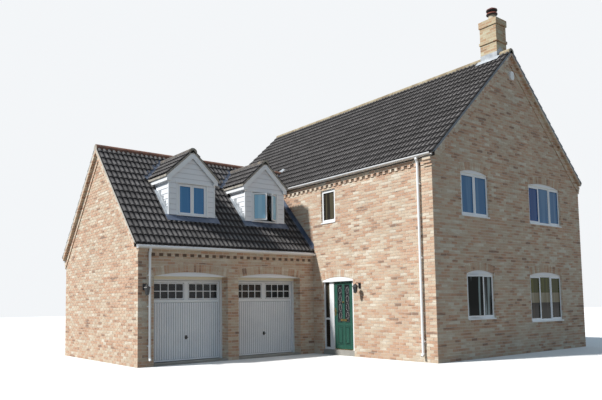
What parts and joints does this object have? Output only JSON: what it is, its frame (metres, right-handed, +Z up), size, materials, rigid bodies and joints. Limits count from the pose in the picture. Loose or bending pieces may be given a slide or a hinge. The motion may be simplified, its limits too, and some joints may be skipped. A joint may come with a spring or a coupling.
{
  "type": "detached house",
  "caption": "Detached brick house with a gabled main block, a lower garage wing with boarded dormers, tiled roofs, a hinged front door and up-and-over garage doors.",
  "frame": {"origin": "middle of the footprint's bounding box, on the ground", "axes": "+Z up, -Y the way the main gable and the garage doors face, -X the way the front door faces"},
  "size_m": [13.1344, 11.3014, 10.203],
  "materials": {
    "brick": "wire-cut multi-coloured facing bricks with pale mortar",
    "concrete": "trowelled concrete",
    "timber_floor": "sawn boards on joists",
    "roof_tile": "weathered concrete interlocking tiles",
    "ridge_tile": "half-round clay ridge tiles in mortar",
    "white_board": "painted boards",
    "white_frame": "smooth extruded frames",
    "glass": "sealed glass units",
    "door_frame": "white gloss paint",
    "green_door": "green gloss paint",
    "brass": "polished, slightly tarnished",
    "garage_door": "white paint on vertical boards",
    "steel": "zinc-plated",
    "rainwater": "extruded white gutters and pipes",
    "clay_pot": "terracotta",
    "black_metal": "black paint with glazed sides",
    "white_case": "moulded case"
  },
  "bodies": {
    "house": {"ground_floor": "concrete", "first_floor": "timber_floor", "front_gable_wall": "brick", "rear_gable_wall": "brick", "entrance_wall_near": "brick", "entrance_wall_far": "brick", "entrance_wall_upper": "brick", "east_wall": "brick", "garage_gable_wall": "brick", "garage_piers": "brick", "garage_door_band": "brick", "garage_rear_wall": "brick", "main_roof_west": "roof_tile", "main_roof_east": "roof_tile", "garage_roof_front": "roof_tile", "garage_roof_rear": "roof_tile", "ridge_tiles": "ridge_tile", "dormer_fronts": "white_board", "dormer_cheeks": "white_board", "dormer_roofs": "roof_tile", "barge_boards": "white_board", "front_window_frames": "white_frame", "plain_window_frames": "white_frame", "dormer_window_frames": "white_frame", "window_glass": "glass", "arch_infills": "white_board", "door_frame": "door_frame", "garage_door_frames": "door_frame", "gutters": "rainwater", "downpipes": "rainwater", "eaves_brickwork": "brick", "verge_brickwork": "brick", "chimney_stack": "brick", "chimney_pot": "clay_pot", "lanterns": "black_metal", "alarm_box": "white_case"},
    "front_door": {"front_door": "green_door", "front_door_glass": "glass", "front_door_furniture": "brass"},
    "garage_left_lift": {"garage_left_pins": "steel"},
    "garage_left_door": {"garage_left_door": "garage_door", "garage_left_glass": "glass"},
    "garage_right_lift": {"garage_right_pins": "steel"},
    "garage_right_door": {"garage_right_door": "garage_door", "garage_right_glass": "glass"}
  },
  "joints": [
    {"name": "front_door_hinge", "type": "hinge", "parent": "house", "child": "front_door", "pos_m": [-0.72515, -2.51782, 1.146], "axis": [0, 0, -1], "range_deg": [0, 90]},
    {"name": "garage_left_lift", "type": "slide", "parent": "house", "child": "garage_left_lift", "axis": [0, 0, 1], "range_m": [0, 1.34]},
    {"name": "garage_left_tilt", "type": "hinge", "parent": "garage_left_lift", "child": "garage_left_door", "pos_m": [-4.95715, -0.49432, 0.777], "axis": [-1, 0, 0], "range_deg": [0, 90]},
    {"name": "garage_right_lift", "type": "slide", "parent": "house", "child": "garage_right_lift", "axis": [0, 0, 1], "range_m": [0, 1.34]},
    {"name": "garage_right_tilt", "type": "hinge", "parent": "garage_right_lift", "child": "garage_right_door", "pos_m": [-2.44915, -0.49432, 0.777], "axis": [-1, 0, 0], "range_deg": [0, 90]}
  ],
  "couplings": [
    {"joint": "garage_left_tilt", "follows": "garage_left_lift", "rad_per_m": 1.1722},
    {"joint": "garage_right_tilt", "follows": "garage_right_lift", "rad_per_m": 1.1722}
  ]
}
